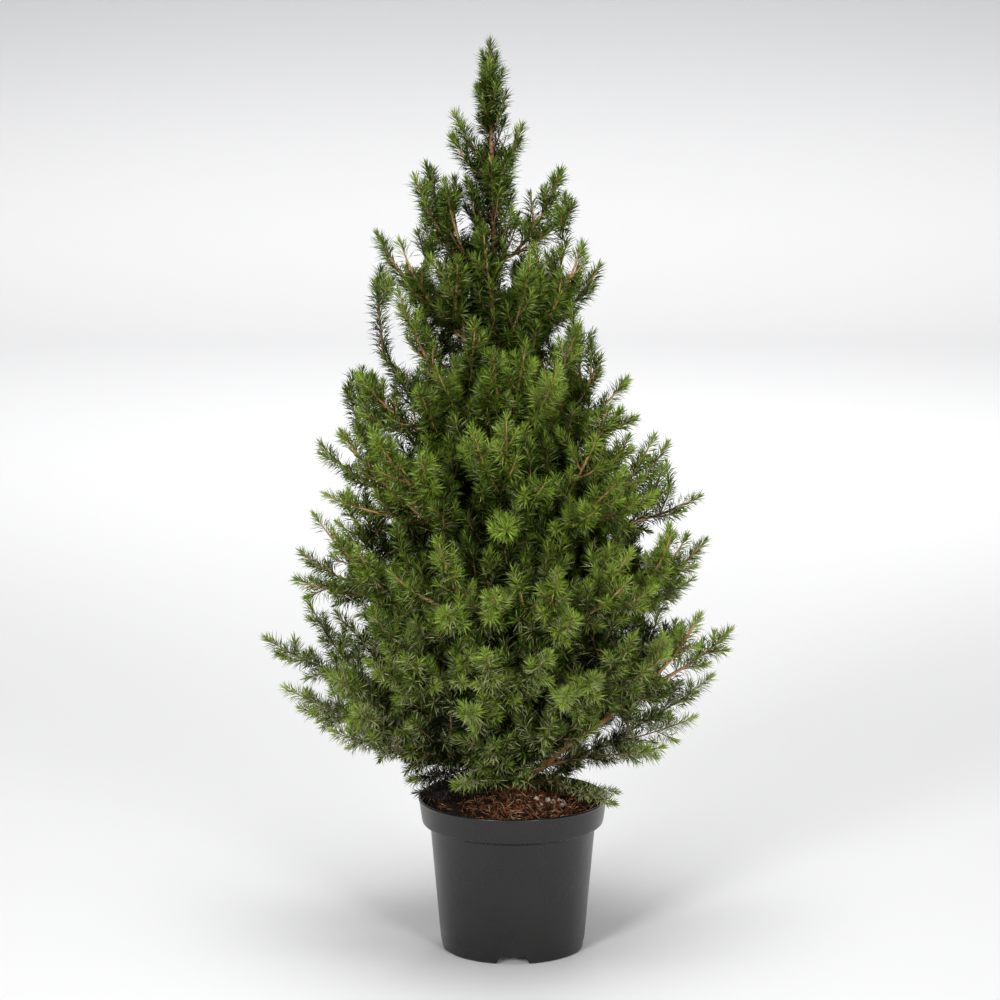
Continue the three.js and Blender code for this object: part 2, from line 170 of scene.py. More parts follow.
def pot_outline():
    """The shell from the middle of its floor out, up the wall, over the lip and back inside."""
    ring = FOOT_RADIUS - 0.0055
    seam = pot_wall_radius(MOULD_LINE)
    inner_collar = COLLAR_RADIUS - POT_WALL
    inner_shoulder = SHOULDER_RADIUS - POT_WALL
    outside = [
        (0, 0), (0.046, 0), (0.050, FOOT_DEPTH), (ring - 0.0015, FOOT_DEPTH), (ring, 0),
        (FOOT_RADIUS - 0.003, 0), (FOOT_RADIUS - 0.0006, 0.0007), (FOOT_RADIUS, 0.003),
        (seam, MOULD_LINE), (seam + 0.0003, MOULD_LINE + 0.0004),
        (SHOULDER_RADIUS, COLLAR_BOTTOM - 0.001), (SHOULDER_RADIUS + 0.0012, COLLAR_BOTTOM),
        (COLLAR_RADIUS - 0.0028, COLLAR_BOTTOM + 0.0012), (COLLAR_RADIUS - 0.0008, COLLAR_BOTTOM + 0.003),
        (COLLAR_RADIUS, COLLAR_BOTTOM + 0.006),
        (LIP_RADIUS - 0.0007, POT_HEIGHT - 0.0026), (LIP_RADIUS, POT_HEIGHT - 0.0018),
        (LIP_RADIUS, POT_HEIGHT - 0.0006), (LIP_RADIUS - 0.0006, POT_HEIGHT),
    ]
    inside = [
        (LIP_RADIUS - 0.0019, POT_HEIGHT), (LIP_RADIUS - 0.0023, POT_HEIGHT - 0.0006),
        (inner_collar, COLLAR_BOTTOM + 0.007), (inner_shoulder, COLLAR_BOTTOM + 0.001),
        (FOOT_RADIUS - POT_WALL, FOOT_DEPTH + 0.002), (0.048, FOOT_DEPTH + 0.002),
        (0.044, 0.002), (0, 0.002),
    ]
    return outside + inside


def mottling_group():
    """Soft patches of two tones that run into each other, with their height for relief."""
    group = bpy.data.node_groups.new("mottling", "ShaderNodeTree")
    for name, kind, value in (
        ("Light Tone", "NodeSocketColor", (0.5, 0.5, 0.5, 1)),
        ("Dark Tone", "NodeSocketColor", (0.1, 0.1, 0.1, 1)),
        ("Patches Per Metre", "NodeSocketFloat", 50.0),
        ("Light Share", "NodeSocketFloat", 0.5),
        ("Softness", "NodeSocketFloat", 0.2),
    ):
        group.interface.new_socket(name, in_out="INPUT", socket_type=kind).default_value = value
    group.interface.new_socket("Tone", in_out="OUTPUT", socket_type="NodeSocketColor")
    group.interface.new_socket("Height", in_out="OUTPUT", socket_type="NodeSocketFloat")
    nodes, link = group.nodes, group.links.new
    given = nodes.new("NodeGroupInput")
    out = nodes.new("NodeGroupOutput")
    place = nodes.new("ShaderNodeTexCoord")
    patches = nodes.new("ShaderNodeTexNoise")
    patches.inputs["Detail"].default_value = 6
    patches.inputs["Roughness"].default_value = 0.6
    low = nodes.new("ShaderNodeMath")
    low.operation = "SUBTRACT"
    high = nodes.new("ShaderNodeMath")
    high.operation = "ADD"
    flipped = nodes.new("ShaderNodeMath")
    flipped.operation = "SUBTRACT"
    flipped.inputs[0].default_value = 1
    spread = nodes.new("ShaderNodeMapRange")
    spread.interpolation_type = "SMOOTHSTEP"
    blend = nodes.new("ShaderNodeMix")
    blend.data_type = "RGBA"
    link(place.outputs["Object"], patches.inputs["Vector"])
    link(given.outputs["Patches Per Metre"], patches.inputs["Scale"])
    link(given.outputs["Light Share"], flipped.inputs[1])
    link(flipped.outputs[0], low.inputs[0])
    link(given.outputs["Softness"], low.inputs[1])
    link(flipped.outputs[0], high.inputs[0])
    link(given.outputs["Softness"], high.inputs[1])
    link(patches.outputs["Fac"], spread.inputs["Value"])
    link(low.outputs[0], spread.inputs["From Min"])
    link(high.outputs[0], spread.inputs["From Max"])
    link(spread.outputs["Result"], blend.inputs["Factor"])
    link(given.outputs["Dark Tone"], blend.inputs["A"])
    link(given.outputs["Light Tone"], blend.inputs["B"])
    link(blend.outputs["Result"], out.inputs["Tone"])
    link(spread.outputs["Result"], out.inputs["Height"])
    return group


MOTTLING = mottling_group()


def new_material(name, roughness, specular=0.5):
    """A material with its shader, whose even values are set on the shader's own sockets."""
    material = bpy.data.materials.new(name)
    material.use_nodes = True
    shader = material.node_tree.nodes["Principled BSDF"]
    shader.inputs["Roughness"].default_value = roughness
    shader.inputs["Specular IOR Level"].default_value = specular
    return material, shader


def mottled(material, light, dark, per_metre, light_share=0.5, softness=0.2):
    """One mottling of a material, with its tones given as plain linear colours."""
    patches = material.node_tree.nodes.new("ShaderNodeGroup")
    patches.node_tree = MOTTLING
    patches.inputs["Light Tone"].default_value = (*light, 1)
    patches.inputs["Dark Tone"].default_value = (*dark, 1)
    patches.inputs["Patches Per Metre"].default_value = per_metre
    patches.inputs["Light Share"].default_value = light_share
    patches.inputs["Softness"].default_value = softness
    return patches


def relief(material, shader, heights, depth):
    """Raises a material's surface by a height from 0 to 1, up to a depth in metres."""
    bump = material.node_tree.nodes.new("ShaderNodeBump")
    bump.inputs["Distance"].default_value = depth
    material.node_tree.links.new(heights, bump.inputs["Height"])
    material.node_tree.links.new(bump.outputs["Normal"], shader.inputs["Normal"])
    return bump


def pot_plastic():
    """Satin black plastic with a faint film of dust and a fine moulded grain."""
    material, shader = new_material("pot_plastic", roughness=0.42, specular=0.42)
    link = material.node_tree.links.new
    film = mottled(material, (0.014, 0.0128, 0.0124), (0.0105, 0.0095, 0.0092), 22, 0.5, 0.25)
    grain = mottled(material, (1, 1, 1), (0, 0, 0), 900, 0.5, 0.3)
    gloss = material.node_tree.nodes.new("ShaderNodeMapRange")
    gloss.inputs["To Min"].default_value = 0.24
    gloss.inputs["To Max"].default_value = 0.34
    link(film.outputs["Tone"], shader.inputs["Base Color"])
    link(film.outputs["Height"], gloss.inputs["Value"])
    link(gloss.outputs["Result"], shader.inputs["Roughness"])
    relief(material, shader, grain.outputs["Height"], 0.00003)
    return material


pot_shape = spun(pot_outline(), POT_STEPS)
round_rims(pot_shape, RIM_ROUNDING)
pot_mesh = cut_by(mesh_of("pot shell", pot_shape), foot_notches())
pot_mesh.set_sharp_from_angle(angle=math.radians(30))
piece_of("nursery_pot", pot_mesh, pot_plastic(), ["pot"])

# ---- Soil ----
# Peat that fills the pot to a low mound, crumbly on top, darker towards the rim, with
# red-brown bark fibres showing in the middle.
SOIL_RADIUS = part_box("soil")[1].x - 0.0004
SOIL_CENTRE = 0.1500
SOIL_RIM = 0.1435
SOIL_RINGS = 52
SOIL_STEPS = 168


def soil_height(x, y):
    """The height of the lumpy surface above the pot's underside."""
    share = min(1.0, math.hypot(x, y) / SOIL_RADIUS)
    mound = SOIL_CENTRE + (SOIL_RIM - SOIL_CENTRE) * share ** 2
    heap = 0.010 * math.exp(-((x - 0.004) ** 2 + (y + 0.006) ** 2) / 0.028 ** 2)
    lumps = 0.0026 * noise.noise(Vector((x, y, 0)) * 55)
    clods = 0.0016 * noise.noise(Vector((x, y, 3)) * 140)
    crumbs = 0.0009 * noise.noise(Vector((x, y, 7)) * 420)
    return mound + heap + (lumps + clods + crumbs) * (1 - 0.5 * share ** 6)


def soil_shape():
    """The plug of peat inside the pot, with its lumpy top."""
    bottom = FOOT_DEPTH + 0.0024
    radii = [SOIL_RADIUS * ring / SOIL_RINGS for ring in range(SOIL_RINGS + 1)]
    top = [(radius, SOIL_CENTRE) for radius in radii]
    wall = [(COLLAR_RADIUS - 0.0026, COLLAR_BOTTOM + 0.008), (SHOULDER_RADIUS - 0.0026, COLLAR_BOTTOM),
            (FOOT_RADIUS - 0.0026, bottom), (0, bottom)]
    shape = spun(top + wall, SOIL_STEPS)
    for vert in shape.verts:
        if vert.co.z > SOIL_CENTRE - 1e-4:
            vert.co.z = soil_height(vert.co.x, vert.co.y)
    return shape


def peat():
    """Dark peat, mottled with redder fibre."""
    material, shader = new_material("peat", roughness=0.9, specular=0.25)
    link = material.node_tree.links.new
    crumb = mottled(material, (0.11, 0.052, 0.026), (0.014, 0.008, 0.005), 260, 0.5, 0.14)
    fibre = mottled(material, (0.27, 0.115, 0.045), (0.016, 0.009, 0.006), 480, 0.42, 0.1)
    damp = mottled(material, (1, 1, 1), (0, 0, 0), 18, 0.5, 0.12)
    blend = material.node_tree.nodes.new("ShaderNodeMix")
    blend.data_type = "RGBA"
    link(damp.outputs["Height"], blend.inputs["Factor"])
    link(crumb.outputs["Tone"], blend.inputs["A"])
    link(fibre.outputs["Tone"], blend.inputs["B"])
    link(blend.outputs["Result"], shader.inputs["Base Color"])
    relief(material, shader, crumb.outputs["Height"], 0.0008)
    return material


piece_of("potting_soil", mesh_of("potting soil", soil_shape(), math.radians(60)), peat(), ["soil"])

# Litter on the soil: crumbs of peat, fibres of bark, fallen needles and a few bits of pale grit.
LITTER_REACH = SOIL_RADIUS - 0.004
litter_dice = np.random.default_rng(3)


def litter_spots(count, middle, spread):
    """Places on the soil, scattered round a middle."""
    spots = litter_dice.normal(0, 1, (count * 3, 2)) * spread + middle
    spots = spots[np.hypot(*spots.T) < LITTER_REACH][:count]
    return np.array([(x, y, soil_height(x, y)) for x, y in spots])


def slivers(count, middle, spread, length, width, standing):
    """Corners and triangles of thin bent slivers that lie on the soil, some with an end in the air."""
    spots = litter_spots(count, middle, spread)
    count = len(spots)
    turn = litter_dice.uniform(0, math.tau, count)
    climb = litter_dice.normal(0, standing, count)
    size = litter_dice.uniform(0.5, 1, count) * length
    way = np.stack((np.cos(turn) * np.cos(climb), np.sin(turn) * np.cos(climb), abs(np.sin(climb))), axis=1)
    side = np.stack((-np.sin(turn), np.cos(turn), np.zeros(count)), axis=1) * width / 2
    up = np.array((0, 0, width))
    foot = spots + (0, 0, 0.0002)
    tip = foot + way * size[:, None]
    bend = (foot + tip) / 2 + side * litter_dice.normal(0, 3, (count, 1)) + up * 0.8
    corners = np.stack((foot, bend + side, bend - side, bend + up, tip), axis=1)
    pattern = np.array(((0, 2, 1), (0, 1, 3), (0, 3, 2), (4, 1, 2), (4, 3, 1), (4, 2, 3)))
    starts = (np.arange(count) * 5)[:, None, None]
    return corners.reshape(-1, 3), (pattern[None] + starts).reshape(-1, 3)


def lumps_of(count, middle, spread, smallest, largest, lift=0.0):
    """Corners and triangles of uneven eight-faced lumps half sunk in the soil, or lying on it."""
    spots = litter_spots(count, middle, spread) + (0, 0, lift)
    count = len(spots)
    ends = np.array(((1, 0, 0), (0, 1, 0), (-1, 0, 0), (0, -1, 0), (0, 0, 1), (0, 0, -1)))
    sizes = litter_dice.uniform(smallest, largest, (count, 1, 1)) / 2
    corners = spots[:, None] + ends * sizes * litter_dice.uniform(0.6, 1.3, (count, 6, 1))
    corners += litter_dice.normal(0, 0.15, (count, 6, 3)) * sizes
    upper = ((0, 1, 4), (1, 2, 4), (2, 3, 4), (3, 0, 4))
    lower = ((1, 0, 5), (2, 1, 5), (3, 2, 5), (0, 3, 5))
    pattern = np.array(upper + lower)
    starts = (np.arange(count) * 6)[:, None, None]
    return corners.reshape(-1, 3), (pattern[None] + starts).reshape(-1, 3)


def joined(name, corners, triangles, smooth=True):
    """One mesh from lists of corner and triangle arrays, such as many twigs or many needles."""
    starts = np.cumsum([0] + [len(part) for part in corners])
    faces = np.vstack([part + start for part, start in zip(triangles, starts)]).astype(np.int32)
    places = np.vstack(corners).astype(np.float32)
    mesh = bpy.data.meshes.new(name)
    mesh.vertices.add(len(places))
    mesh.vertices.foreach_set("co", places.ravel())
    mesh.loops.add(faces.size)
    mesh.loops.foreach_set("vertex_index", faces.ravel())
    mesh.polygons.add(len(faces))
    mesh.polygons.foreach_set("loop_start", np.arange(0, faces.size, 3, dtype=np.int32))
    mesh.polygons.foreach_set("use_smooth", np.full(len(faces), smooth))
    mesh.update(calc_edges=True)
    mesh.validate()
    return mesh


def plain_material(name, colour, roughness, specular=0.4):
    """One even colour, for small things whose colour is dealt out by spray."""
    material, shader = new_material(name, roughness, specular)
    shader.inputs["Base Color"].default_value = (*colour, 1)
    return material


ALL_OVER = (0, 0), 0.06
MIDDLE = (0.016, -0.024), (0.028, 0.03)
LITTER = {
    "dark_crumbs": (lumps_of(2300, *ALL_OVER, 0.0015, 0.0065), (0.012, 0.007, 0.0045)),
    "brown_crumbs": (lumps_of(520, *MIDDLE, 0.001, 0.004), (0.15, 0.058, 0.024)),
    "red_fibres": (slivers(520, *MIDDLE, 0.010, 0.0007, 0.6), (0.30, 0.10, 0.036)),
    "umber_fibres": (slivers(420, *MIDDLE, 0.010, 0.0007, 0.6), (0.12, 0.045, 0.018)),
    "tan_fibres": (slivers(150, *MIDDLE, 0.013, 0.0006, 0.6), (0.52, 0.35, 0.21)),
    "fallen_needles": (slivers(230, *ALL_OVER, 0.012, 0.0008, 0.3), (0.20, 0.09, 0.036)),
    "pale_grit": (lumps_of(16, (0.042, -0.014), (0.010, 0.008), 0.003, 0.007, 0.002), (0.58, 0.51, 0.41)),
}
for name, (shapes, tone) in LITTER.items():
    litter_mesh = joined(name, [shapes[0]], [shapes[1]], smooth=False)
    piece_of(name, litter_mesh, plain_material(name, tone, 0.85, 0.2))

# ---- Trunk ----
# One upright stem of living wood under thin bark: grey-brown and scaly over the flared foot,
# where its dark low tones are partly painted shade, and smoother and orange-brown towards the
# top, where it carries the leader.
TRUNK_SIDES = 32
TRUNK_STEP = 0.0028
TRUNK_BELOW_GROUND = 0.006


def merged_copy(node):
    """A copy of a CAD node's mesh with its loose triangles joined."""
    shape = bmesh.new()
    shape.from_mesh(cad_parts[node].data)
    bmesh.ops.remove_doubles(shape, verts=shape.verts, dist=2e-5)
    return shape


def corners_of(node):
    """A CAD node's corners, each one once."""
    shape = merged_copy(node)
    points = np.array([vert.co for vert in shape.verts])
    shape.free()
    return points


def trunk_rings():
    """Height, sideways place and radius of each ring of the CAD trunk, from the ground up."""
    points = corners_of("trunk")
    rings = []
    for height in np.unique(points[:, 2].round(4)):
        ring = points[abs(points[:, 2] - height) < 1e-4]
        middle = ring.mean(axis=0)
        rings.append((height, middle[0], middle[1], np.hypot(*(ring - middle)[:, :2].T).mean()))
    return np.array(rings)


TRUNK_RINGS = trunk_rings()
TRUNK_FOOT = TRUNK_RINGS[0, 0]
TRUNK_TOP = TRUNK_RINGS[-1, 0]


def trunk_place(height):
    """The middle of the trunk at a height."""
    x, y = (np.interp(height, TRUNK_RINGS[:, 0], TRUNK_RINGS[:, column]) for column in (1, 2))
    return np.array((x, y, height))


def trunk_radius(height):
    """The trunk's radius at a height."""
    return np.interp(height, TRUNK_RINGS[:, 0], TRUNK_RINGS[:, 3])


def unit(vectors):
    """Vectors brought to a length of one."""
    return vectors / np.maximum(np.linalg.norm(vectors, axis=-1, keepdims=True), 1e-9)


def directions_along(path):
    """The way a path runs at each of its points."""
    return unit(np.gradient(path, axis=0))


def frames_along(path):
    """The way a path runs, and two directions across it that turn with it as little as possible."""
    ways = directions_along(path)
    first = np.cross(ways[0], (0.31, 0.94, 0.12))
    across = [unit(first)]
    for way in ways[1:]:
        across.append(unit(across[-1] - way * np.dot(across[-1], way)))
    across = np.array(across)
    return ways, across, np.cross(ways, across)


def bark_relief(place, radius):
    """How far scaly bark stands out at a place, in metres: broad scales on thick wood, pegs on thin."""
    coarse = np.clip((radius - 0.002) / 0.008, 0, 1)
    scales_per_metre = 520 - 260 * coarse
    stretched = Vector((place[0], place[1], place[2] * (0.75 - 0.25 * coarse))) * scales_per_metre
    near = noise.voronoi(stretched)[0]
    crack = min(1.0, (near[1] - near[0]) * 2.2)
    depth = 0.00028 + 0.0007 * coarse
    return depth * (crack - 0.5) + 0.0006 * coarse * noise.noise(Vector(place) * 90)


def barked_limb(shape, path, radii, sides, lobes=None):
    """Adds a closed limb to a bmesh: a grid rolled up round a path, with the relief of its bark."""
    _, across, upright = frames_along(path)
    last = len(path) - 1
    skin = bmesh.ops.create_grid(shape, x_segments=sides, y_segments=last, size=1)["verts"]
    for corner in skin:
        row = round((corner.co.y + 1) / 2 * last)
        turn = math.pi * (corner.co.x + 1)
        outward = across[row] * math.cos(turn) + upright[row] * math.sin(turn)
        radius = radii[row] * (lobes(turn, path[row]) if lobes else 1)
        spot = path[row] + outward * radius
        corner.co = spot + outward * bark_relief(spot, radii[row])
    bmesh.ops.remove_doubles(shape, verts=skin, dist=1e-6)
    rims = [edge for edge in shape.edges if edge.is_boundary]
    bmesh.ops.holes_fill(shape, edges=rims, sides=0)


def root_lobes(turn, place):
    """How the foot of the trunk spreads into its roots."""
    spread = math.exp(-max(0.0, place[2] - TRUNK_FOOT) / 0.012)
    return 1 + 0.2 * spread * math.cos(5 * turn + 0.6)


def bark(name, old_light, old_dark):
    """Bark with tones of its own low down, and orange-brown above."""
    material, shader = new_material(name, roughness=0.8, specular=0.3)
    nodes, link = material.node_tree.nodes, material.node_tree.links.new
    old = mottled(material, old_light, old_dark, 190, 0.5, 0.2)
    young = mottled(material, (0.42, 0.25, 0.12), (0.15, 0.072, 0.028), 240, 0.5, 0.2)
    place = nodes.new("ShaderNodeTexCoord")
    axes = nodes.new("ShaderNodeSeparateXYZ")
    age = nodes.new("ShaderNodeMapRange")
    age.inputs["From Min"].default_value = 0.16
    age.inputs["From Max"].default_value = 0.5
    blend = nodes.new("ShaderNodeMix")
    blend.data_type = "RGBA"
    link(place.outputs["Object"], axes.inputs["Vector"])
    link(axes.outputs["Z"], age.inputs["Value"])
    link(age.outputs["Result"], blend.inputs["Factor"])
    link(old.outputs["Tone"], blend.inputs["A"])
    link(young.outputs["Tone"], blend.inputs["B"])
    link(blend.outputs["Result"], shader.inputs["Base Color"])
    relief(material, shader, old.outputs["Height"], 0.0004)
    return material


# Painted shade: the low tones are darker than old bark alone, to sink the foot into the crown's shade.
TRUNK_BARK = bark("trunk_bark", (0.15, 0.07, 0.034), (0.045, 0.020, 0.010))
trunk_heights = np.arange(TRUNK_FOOT - TRUNK_BELOW_GROUND, TRUNK_TOP, TRUNK_STEP)
trunk_path = np.array([trunk_place(max(height, TRUNK_FOOT)) for height in trunk_heights])
trunk_path[:, 2] = trunk_heights
trunk_shape = bmesh.new()
barked_limb(trunk_shape, trunk_path, trunk_radius(trunk_heights), TRUNK_SIDES, root_lobes)
bmesh.ops.recalc_face_normals(trunk_shape, faces=trunk_shape.faces)
piece_of("trunk_bark", mesh_of("trunk bark", trunk_shape, math.radians(60)), TRUNK_BARK, ["trunk"])

# ---- Boughs and twigs ----
# Boughs leave the trunk in tiers. Each runs on through its mass of foliage as a lead shoot, and
# forks into long shoots, which carry short side shoots: thin wood, orange-tan where it is new.
SHARP_END = math.radians(50)       # how narrow the end of a CAD mass is where a long shoot stops
PATH_STEP = 0.005
NEEDLE_LENGTH = 0.0138
WOOD_AT_50_MM = 0.0008             # how much thicker a limb is at that distance from its tip
TIP_RADIUS = 0.0006
FIRST_SIDE_SHOOT = 0.020           # from the tip of a limb
SIDE_SHOOT_STEP = 0.0095
SIDE_SHOOT_SPREAD = math.radians(48)
SPIRAL = math.radians(137.5)
THICK_WOOD = 0.0024                # limbs over this radius have bark relief

dice = np.random.default_rng(7)
UP = np.array((0.0, 0.0, 1.0))
masses = sorted(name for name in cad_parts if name.startswith("foliage_"))
BARE_BOUGH = "foliage_low_right"            # the one low mass whose bough shows
RIM_SHOOT = "foliage_skirt_front_right"     # a small shoot that hangs over the rim of the pot


def shoot_ends(node):
    """Where the long shoots of a mass stop: the sharp ends of its solid."""
    shape = merged_copy(node)
    ends = []
    for corner in shape.verts:
        around = [edge.other_vert(corner).co for edge in corner.link_edges]
        back = corner.co - sum(around, Vector()) / len(around)
        narrow = back.length > 0.006 and all((corner.co - place).angle(back) < SHARP_END
                                             for place in around)
        if narrow:
            ends.append(np.array(corner.co))
    shape.free()
    return ends


def climbing(start, end, rise):
    """A shoot's path: outwards at first and then up, with `rise` of its climb made by its elbow."""
    start, end = Vector(start), Vector(end)
    elbow = start.lerp(end, 0.68)
    elbow.z = start.z + rise * (end.z - start.z)
    handles = (start, start.lerp(elbow, 2 / 3), end.lerp(elbow, 2 / 3), end)
    count = max(4, round((end - start).length / PATH_STEP))
    return np.array(interpolate_bezier(*handles, count))


def length_to_tip(path):
    """How far each point of a path is from its end."""
    steps = np.linalg.norm(np.diff(path, axis=0), axis=1)
    return np.append(np.cumsum(steps[::-1])[::-1], 0)


def outward_from_trunk(place):
    """The level direction from the trunk to a place."""
    away = place - trunk_place(place[2])
    return unit(away * (1, 1, 0))


def bough_path(mass):
    """The wood from the middle of the trunk to where it enters a mass."""
    bough = mass.replace("foliage", "bough")
    points = corners_of(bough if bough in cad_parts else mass)
    reach = np.array([np.linalg.norm(point[:2] - trunk_place(point[2])[:2]) for point in points])
    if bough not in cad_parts:
        foot = points[reach < reach.min() + 0.006].mean(axis=0)
        start = trunk_place(foot[2] - 0.004)
        return climbing(start, start + 0.02 * outward_from_trunk(points.mean(axis=0)) + 0.004 * UP, 0.4)
    near, far = reach.min(), reach.max()
    inner = points[reach < near + 0.15 * (far - near)].mean(axis=0)
    outer = points[reach > far - 0.12 * (far - near)].mean(axis=0)
    start = trunk_place(inner[2] - 0.15 * (outer[2] - inner[2]))
    path = climbing(start, outer, 0.5)
    if mass == BARE_BOUGH:
        path[:, 2] += 0.007 * np.sin(np.linspace(0, math.pi, len(path))) ** 3
    return path


# Wood that stays in view, with how wide it is kept clear in front: the bare bough low on the
# right, and two stretches of the trunk near the top.
CLEAR_WOOD = (
    (bough_path(BARE_BOUGH)[5:-3], 0.012),
    (trunk_path[(trunk_path[:, 2] > 0.705) & (trunk_path[:, 2] < 0.748)], 0.0032),
    (trunk_path[(trunk_path[:, 2] > 0.792) & (trunk_path[:, 2] < 0.808)], 0.0025),
)


def hides_clear_wood(places, margin=0.0):
    """Which of some places are in front of wood that stays in view."""
    hidden = np.zeros(len(places), dtype=bool)
    for wood, clearance in CLEAR_WOOD:
        gaps = np.linalg.norm((places[:, None] - wood[None])[:, :, [0, 2]], axis=2)
        nearest = gaps.argmin(axis=1)
        in_front = places[:, 1] < wood[nearest, 1] - 0.002
        hidden |= in_front & (gaps.min(axis=1) < clearance + margin)
    return hidden


# The sky shows through the crown here: the middle of each gap, across and up, and its half sizes.
SKY_GAPS = np.array((
    (-0.006, 0.815, 0.0067, 0.0105), (-0.037, 0.810, 0.0045, 0.0067), (0.022, 0.742, 0.0045, 0.0105),
    (-0.052, 0.730, 0.0075, 0.0165), (0.005, 0.712, 0.0075, 0.0135), (-0.008, 0.673, 0.0045, 0.0075),
    (0.056, 0.690, 0.0083, 0.0105), (0.081, 0.678, 0.0037, 0.0045), (-0.111, 0.683, 0.0060, 0.0045),
    (-0.109, 0.602, 0.0075, 0.0135), (-0.067, 0.594, 0.0045, 0.0067), (0.036, 0.592, 0.0060, 0.0090),
    (0.076, 0.585, 0.0060, 0.0060), (0.097, 0.560, 0.0053, 0.0090), (-0.096, 0.540, 0.0045, 0.0053),
    (-0.165, 0.500, 0.0075, 0.0090), (0.135, 0.508, 0.0060, 0.0053), (0.150, 0.447, 0.0045, 0.0067),
    (0.161, 0.410, 0.0083, 0.0090), (-0.172, 0.390, 0.0060, 0.0120), (-0.191, 0.356, 0.0075, 0.0120),
    (0.179, 0.324, 0.0045, 0.0067), (0.163, 0.283, 0.0210, 0.0095), (0.138, 0.218, 0.0250, 0.0065),
    (0.167, 0.244, 0.0060, 0.0060), (-0.117, 0.206, 0.0037, 0.0090), (-0.109, 0.700, 0.0105, 0.0105),
    (0.022, 0.772, 0.0067, 0.0105), (-0.189, 0.420, 0.0067, 0.0195), (0.167, 0.456, 0.0120, 0.0045),
    (-0.095, 0.696, 0.0095, 0.0095),
))

# Side shoots fill these pockets between the boughs: the middle of each, and its radius.
POCKETS = np.array((
    (-0.077, 0.0, 0.702, 0.022), (0.029, 0.0, 0.695, 0.016), (-0.047, 0.0, 0.757, 0.016),
    (0.050, 0.0, 0.735, 0.014), (-0.122, 0.0, 0.676, 0.012), (-0.080, 0.0, 0.627, 0.016),
    (0.056, 0.0, 0.640, 0.016), (0.070, 0.0, 0.602, 0.014), (-0.147, 0.0, 0.560, 0.018),
    (-0.144, 0.0, 0.530, 0.014), (-0.166, 0.0, 0.468, 0.016), (-0.157, 0.0, 0.430, 0.016),
    (0.146, 0.0, 0.470, 0.016), (0.155, 0.0, 0.430, 0.014), (0.154, 0.0, 0.340, 0.020),
    (-0.188, 0.0, 0.273, 0.014), (0.055, 0.03, 0.198, 0.020), (0.105, 0.0, 0.545, 0.014),
))


def against_the_sky(places, blur=0.0):
    """Which of some places are in line with a gap, from where the camera stands."""
    eye = np.array(camera.location)
    sights = eye + (places - eye) * (eye[1] / (eye[1] - places[:, 1]))[:, None]
    away = (sights[:, None, [0, 2]] - SKY_GAPS[None, :, :2]) / SKY_GAPS[None, :, 2:]
    return np.sqrt((away ** 2).sum(axis=2).min(axis=1)) + dice.normal(0, blur, len(places)) < 1


class Crown:
    """Every limb that has grown so far, with the places on them where another may fork off."""

    def __init__(self):
        self.limbs = []
        self.places = np.empty((90000, 3))
        self.ways = np.empty((90000, 3))
        self.owners = np.zeros(90000, dtype=int)
        self.count = 0

    def grow(self, path, order, mass, bare=0.0):
        """Adds a limb. Its first stretch, `bare` metres long, never carries needles."""
        self.limbs.append({"path": path, "order": order, "mass": mass, "bare": bare})
        self.offer(path, mass)

    def offer(self, path, mass):
        """Opens a path, past its first point, to limbs that fork off it."""
        rows = slice(self.count, self.count + len(path) - 1)
        self.places[rows] = path[1:]
        self.ways[rows] = directions_along(path)[1:]
        self.owners[rows] = masses.index(mass)
        self.count += len(path) - 1

    def distance(self, end):
        """How far each of the places is from an end."""
        return np.linalg.norm(self.places[:self.count] - end, axis=1)

    def branch(self, end, order, mass, rows, shortest=0.016, longest=9, reach_wanted=0):
        """Grows a shoot to an end from the best fork among some places, unless that is too far away."""
        chords = end - self.places[rows]
        reach = np.linalg.norm(chords, axis=1)
        turn = np.arccos(np.clip((unit(chords) * self.ways[rows]).sum(axis=1), -1, 1))
        climb = chords[:, 2] / np.maximum(reach, 1e-6)
        wanted = min(0.92, 0.2 + 0.5 * uprightness(end[2]))
        cost = reach * (1 + 3 * np.maximum(0, turn - 0.6) ** 2 + 4 * np.maximum(0, wanted - climb) ** 2)
        cost += 1.2 * np.maximum(0, reach_wanted - reach)
        cost[reach < shortest] = 9
        if len(cost) == 0 or cost.min() > longest:
            return False
        fork = self.places[rows[cost.argmin()]]
        path = climbing(fork, end, rise_at(end[2]))
        most_in_the_open = 0.25 if order > 1 else 0.5
        if hides_clear_wood(path).mean() > 0.3 or against_the_sky(path).mean() > most_in_the_open:
            return False
        self.grow(path, order, mass)
        return True


def uprightness(height):
    """How strongly shoots turn up: a little in the skirt of the tree and a lot in its upper half."""
    return np.interp(height, (0.20, 0.34, 0.50, 0.75), (0.1, 0.5, 1.2, 2.0))


def rise_at(height):
    """How much of its climb a shoot has made by its elbow: least in the steep top of the tree."""
    return np.interp(height, (0.20, 0.32, 0.42), (0.6, 0.48, 0.42))


def hangs_low(mass):
    """Whether a mass is one of the lowest, whose boughs hardly show: all but the bare one."""
    return mass.startswith(("foliage_skirt", "foliage_low")) and mass != BARE_BOUGH


crown = Crown()
for mass in masses:
    if mass == "foliage_leader":
        continue
    ends = shoot_ends(mass)
    bough = bough_path(mass)
    ends.sort(key=lambda end: -np.linalg.norm(end - bough[-1]))
    lead = climbing(bough[-1], ends[0], rise_at(ends[0][2]))
    bare = length_to_tip(bough)[0]
    if mass == BARE_BOUGH:
        bare -= 0.01
    if hangs_low(mass):
        bare = min(0.4 * bare, 0.008 if mass == RIM_SHOOT else 0.03)
    crown.grow(np.vstack((bough, lead[1:])), 0, mass, bare=bare)
    for end in ends[1:]:
        own = np.flatnonzero(crown.owners[:crown.count] == masses.index(mass))
        own = own[0 if hangs_low(mass) else len(bough) // 2:]
        crown.branch(end, 1, mass, own, reach_wanted=0.11)


